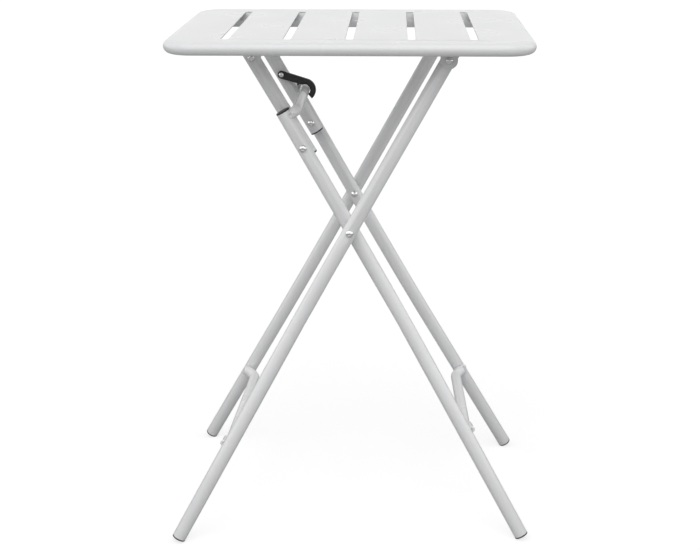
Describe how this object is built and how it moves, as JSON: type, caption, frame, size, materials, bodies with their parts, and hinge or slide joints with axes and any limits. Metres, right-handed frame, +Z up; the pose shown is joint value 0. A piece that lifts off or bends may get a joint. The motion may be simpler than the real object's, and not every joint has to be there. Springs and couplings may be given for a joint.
{
  "type": "folding table",
  "caption": "Folding garden table with a slotted rectangular steel top, crossed tube legs, hinged links and a hook latch.",
  "frame": {"origin": "on the floor, under the middle of the top", "axes": "+Z up, +X to the right along the top's long side seen from the front, +Y to the rear; the front is at -Y"},
  "size_m": [0.5189, 0.3672, 0.725],
  "materials": {
    "powder_coat": "glossy white powder coat on steel",
    "zinc_steel": "bright zinc plate",
    "black_plastic": "satin black plastic"
  },
  "bodies": {
    "top": {"top_sheet": "powder_coat", "rail_front": "powder_coat", "right_ear_front": "powder_coat", "left_ear_front": "powder_coat", "right_bolt_front": "zinc_steel", "right_nut_front": "zinc_steel", "left_bolt_front": "zinc_steel", "left_nut_front": "zinc_steel", "rail_rear": "powder_coat", "right_ear_rear": "powder_coat", "left_ear_rear": "powder_coat", "right_bolt_rear": "zinc_steel", "right_nut_rear": "zinc_steel", "left_bolt_rear": "zinc_steel", "left_nut_rear": "zinc_steel"},
    "outer_frame": {"outer_bar": "powder_coat", "outer_leg_front": "powder_coat", "outer_top_cap_front": "black_plastic", "outer_foot_cap_front": "black_plastic", "cross_bolt_front": "zinc_steel", "cross_nut_front": "zinc_steel", "cross_washer_front": "zinc_steel", "outer_leg_rear": "powder_coat", "outer_top_cap_rear": "black_plastic", "outer_foot_cap_rear": "black_plastic", "cross_bolt_rear": "zinc_steel", "cross_nut_rear": "zinc_steel", "cross_washer_rear": "zinc_steel"},
    "inner_frame": {"inner_bar": "powder_coat", "inner_stop_bar": "powder_coat", "inner_leg_front": "powder_coat", "inner_top_cap_front": "black_plastic", "inner_foot_cap_front": "black_plastic", "knee_bolt_front": "zinc_steel", "knee_washer_front": "zinc_steel", "inner_leg_rear": "powder_coat", "inner_top_cap_rear": "black_plastic", "inner_foot_cap_rear": "black_plastic", "knee_bolt_rear": "zinc_steel", "knee_washer_rear": "zinc_steel"},
    "front_link": {"link_front": "powder_coat", "link_top_cap_front": "black_plastic", "link_end_cap_front": "black_plastic", "knee_stud_front": "zinc_steel"},
    "rear_link": {"link_rear": "powder_coat", "link_top_cap_rear": "black_plastic", "link_end_cap_rear": "black_plastic", "knee_stud_rear": "zinc_steel"},
    "hook": {"hook_latch": "black_plastic", "hook_pin": "zinc_steel"}
  },
  "joints": [
    {"name": "outer_frame_fold", "type": "hinge", "parent": "top", "child": "outer_frame", "pos_m": [0.1303, 0, 0.6951], "axis": [0, 1, 0], "range_deg": [0, 33]},
    {"name": "inner_frame_fold", "type": "hinge", "parent": "outer_frame", "child": "inner_frame", "pos_m": [-0.0012, 0, 0.45691], "axis": [0, 1, 0], "range_deg": [0, 50.04]},
    {"name": "front_link_fold", "type": "hinge", "parent": "top", "child": "front_link", "pos_m": [-0.1346, 0, 0.6907], "axis": [0, -1, 0], "range_deg": [0, 40.02]},
    {"name": "rear_link_fold", "type": "hinge", "parent": "top", "child": "rear_link", "pos_m": [-0.1346, 0, 0.6907], "axis": [0, -1, 0], "range_deg": [0, 40.02]},
    {"name": "hook_lift", "type": "hinge", "parent": "inner_frame", "child": "hook", "pos_m": [-0.10732, 0, 0.64391], "axis": [0, -1, 0], "range_deg": [0, 30]}
  ],
  "couplings": [
    {"joint": "inner_frame_fold", "follows": "outer_frame_fold", "ratio": 1.5163},
    {"joint": "front_link_fold", "follows": "outer_frame_fold", "ratio": 1.2127},
    {"joint": "rear_link_fold", "follows": "outer_frame_fold", "ratio": 1.2127}
  ]
}
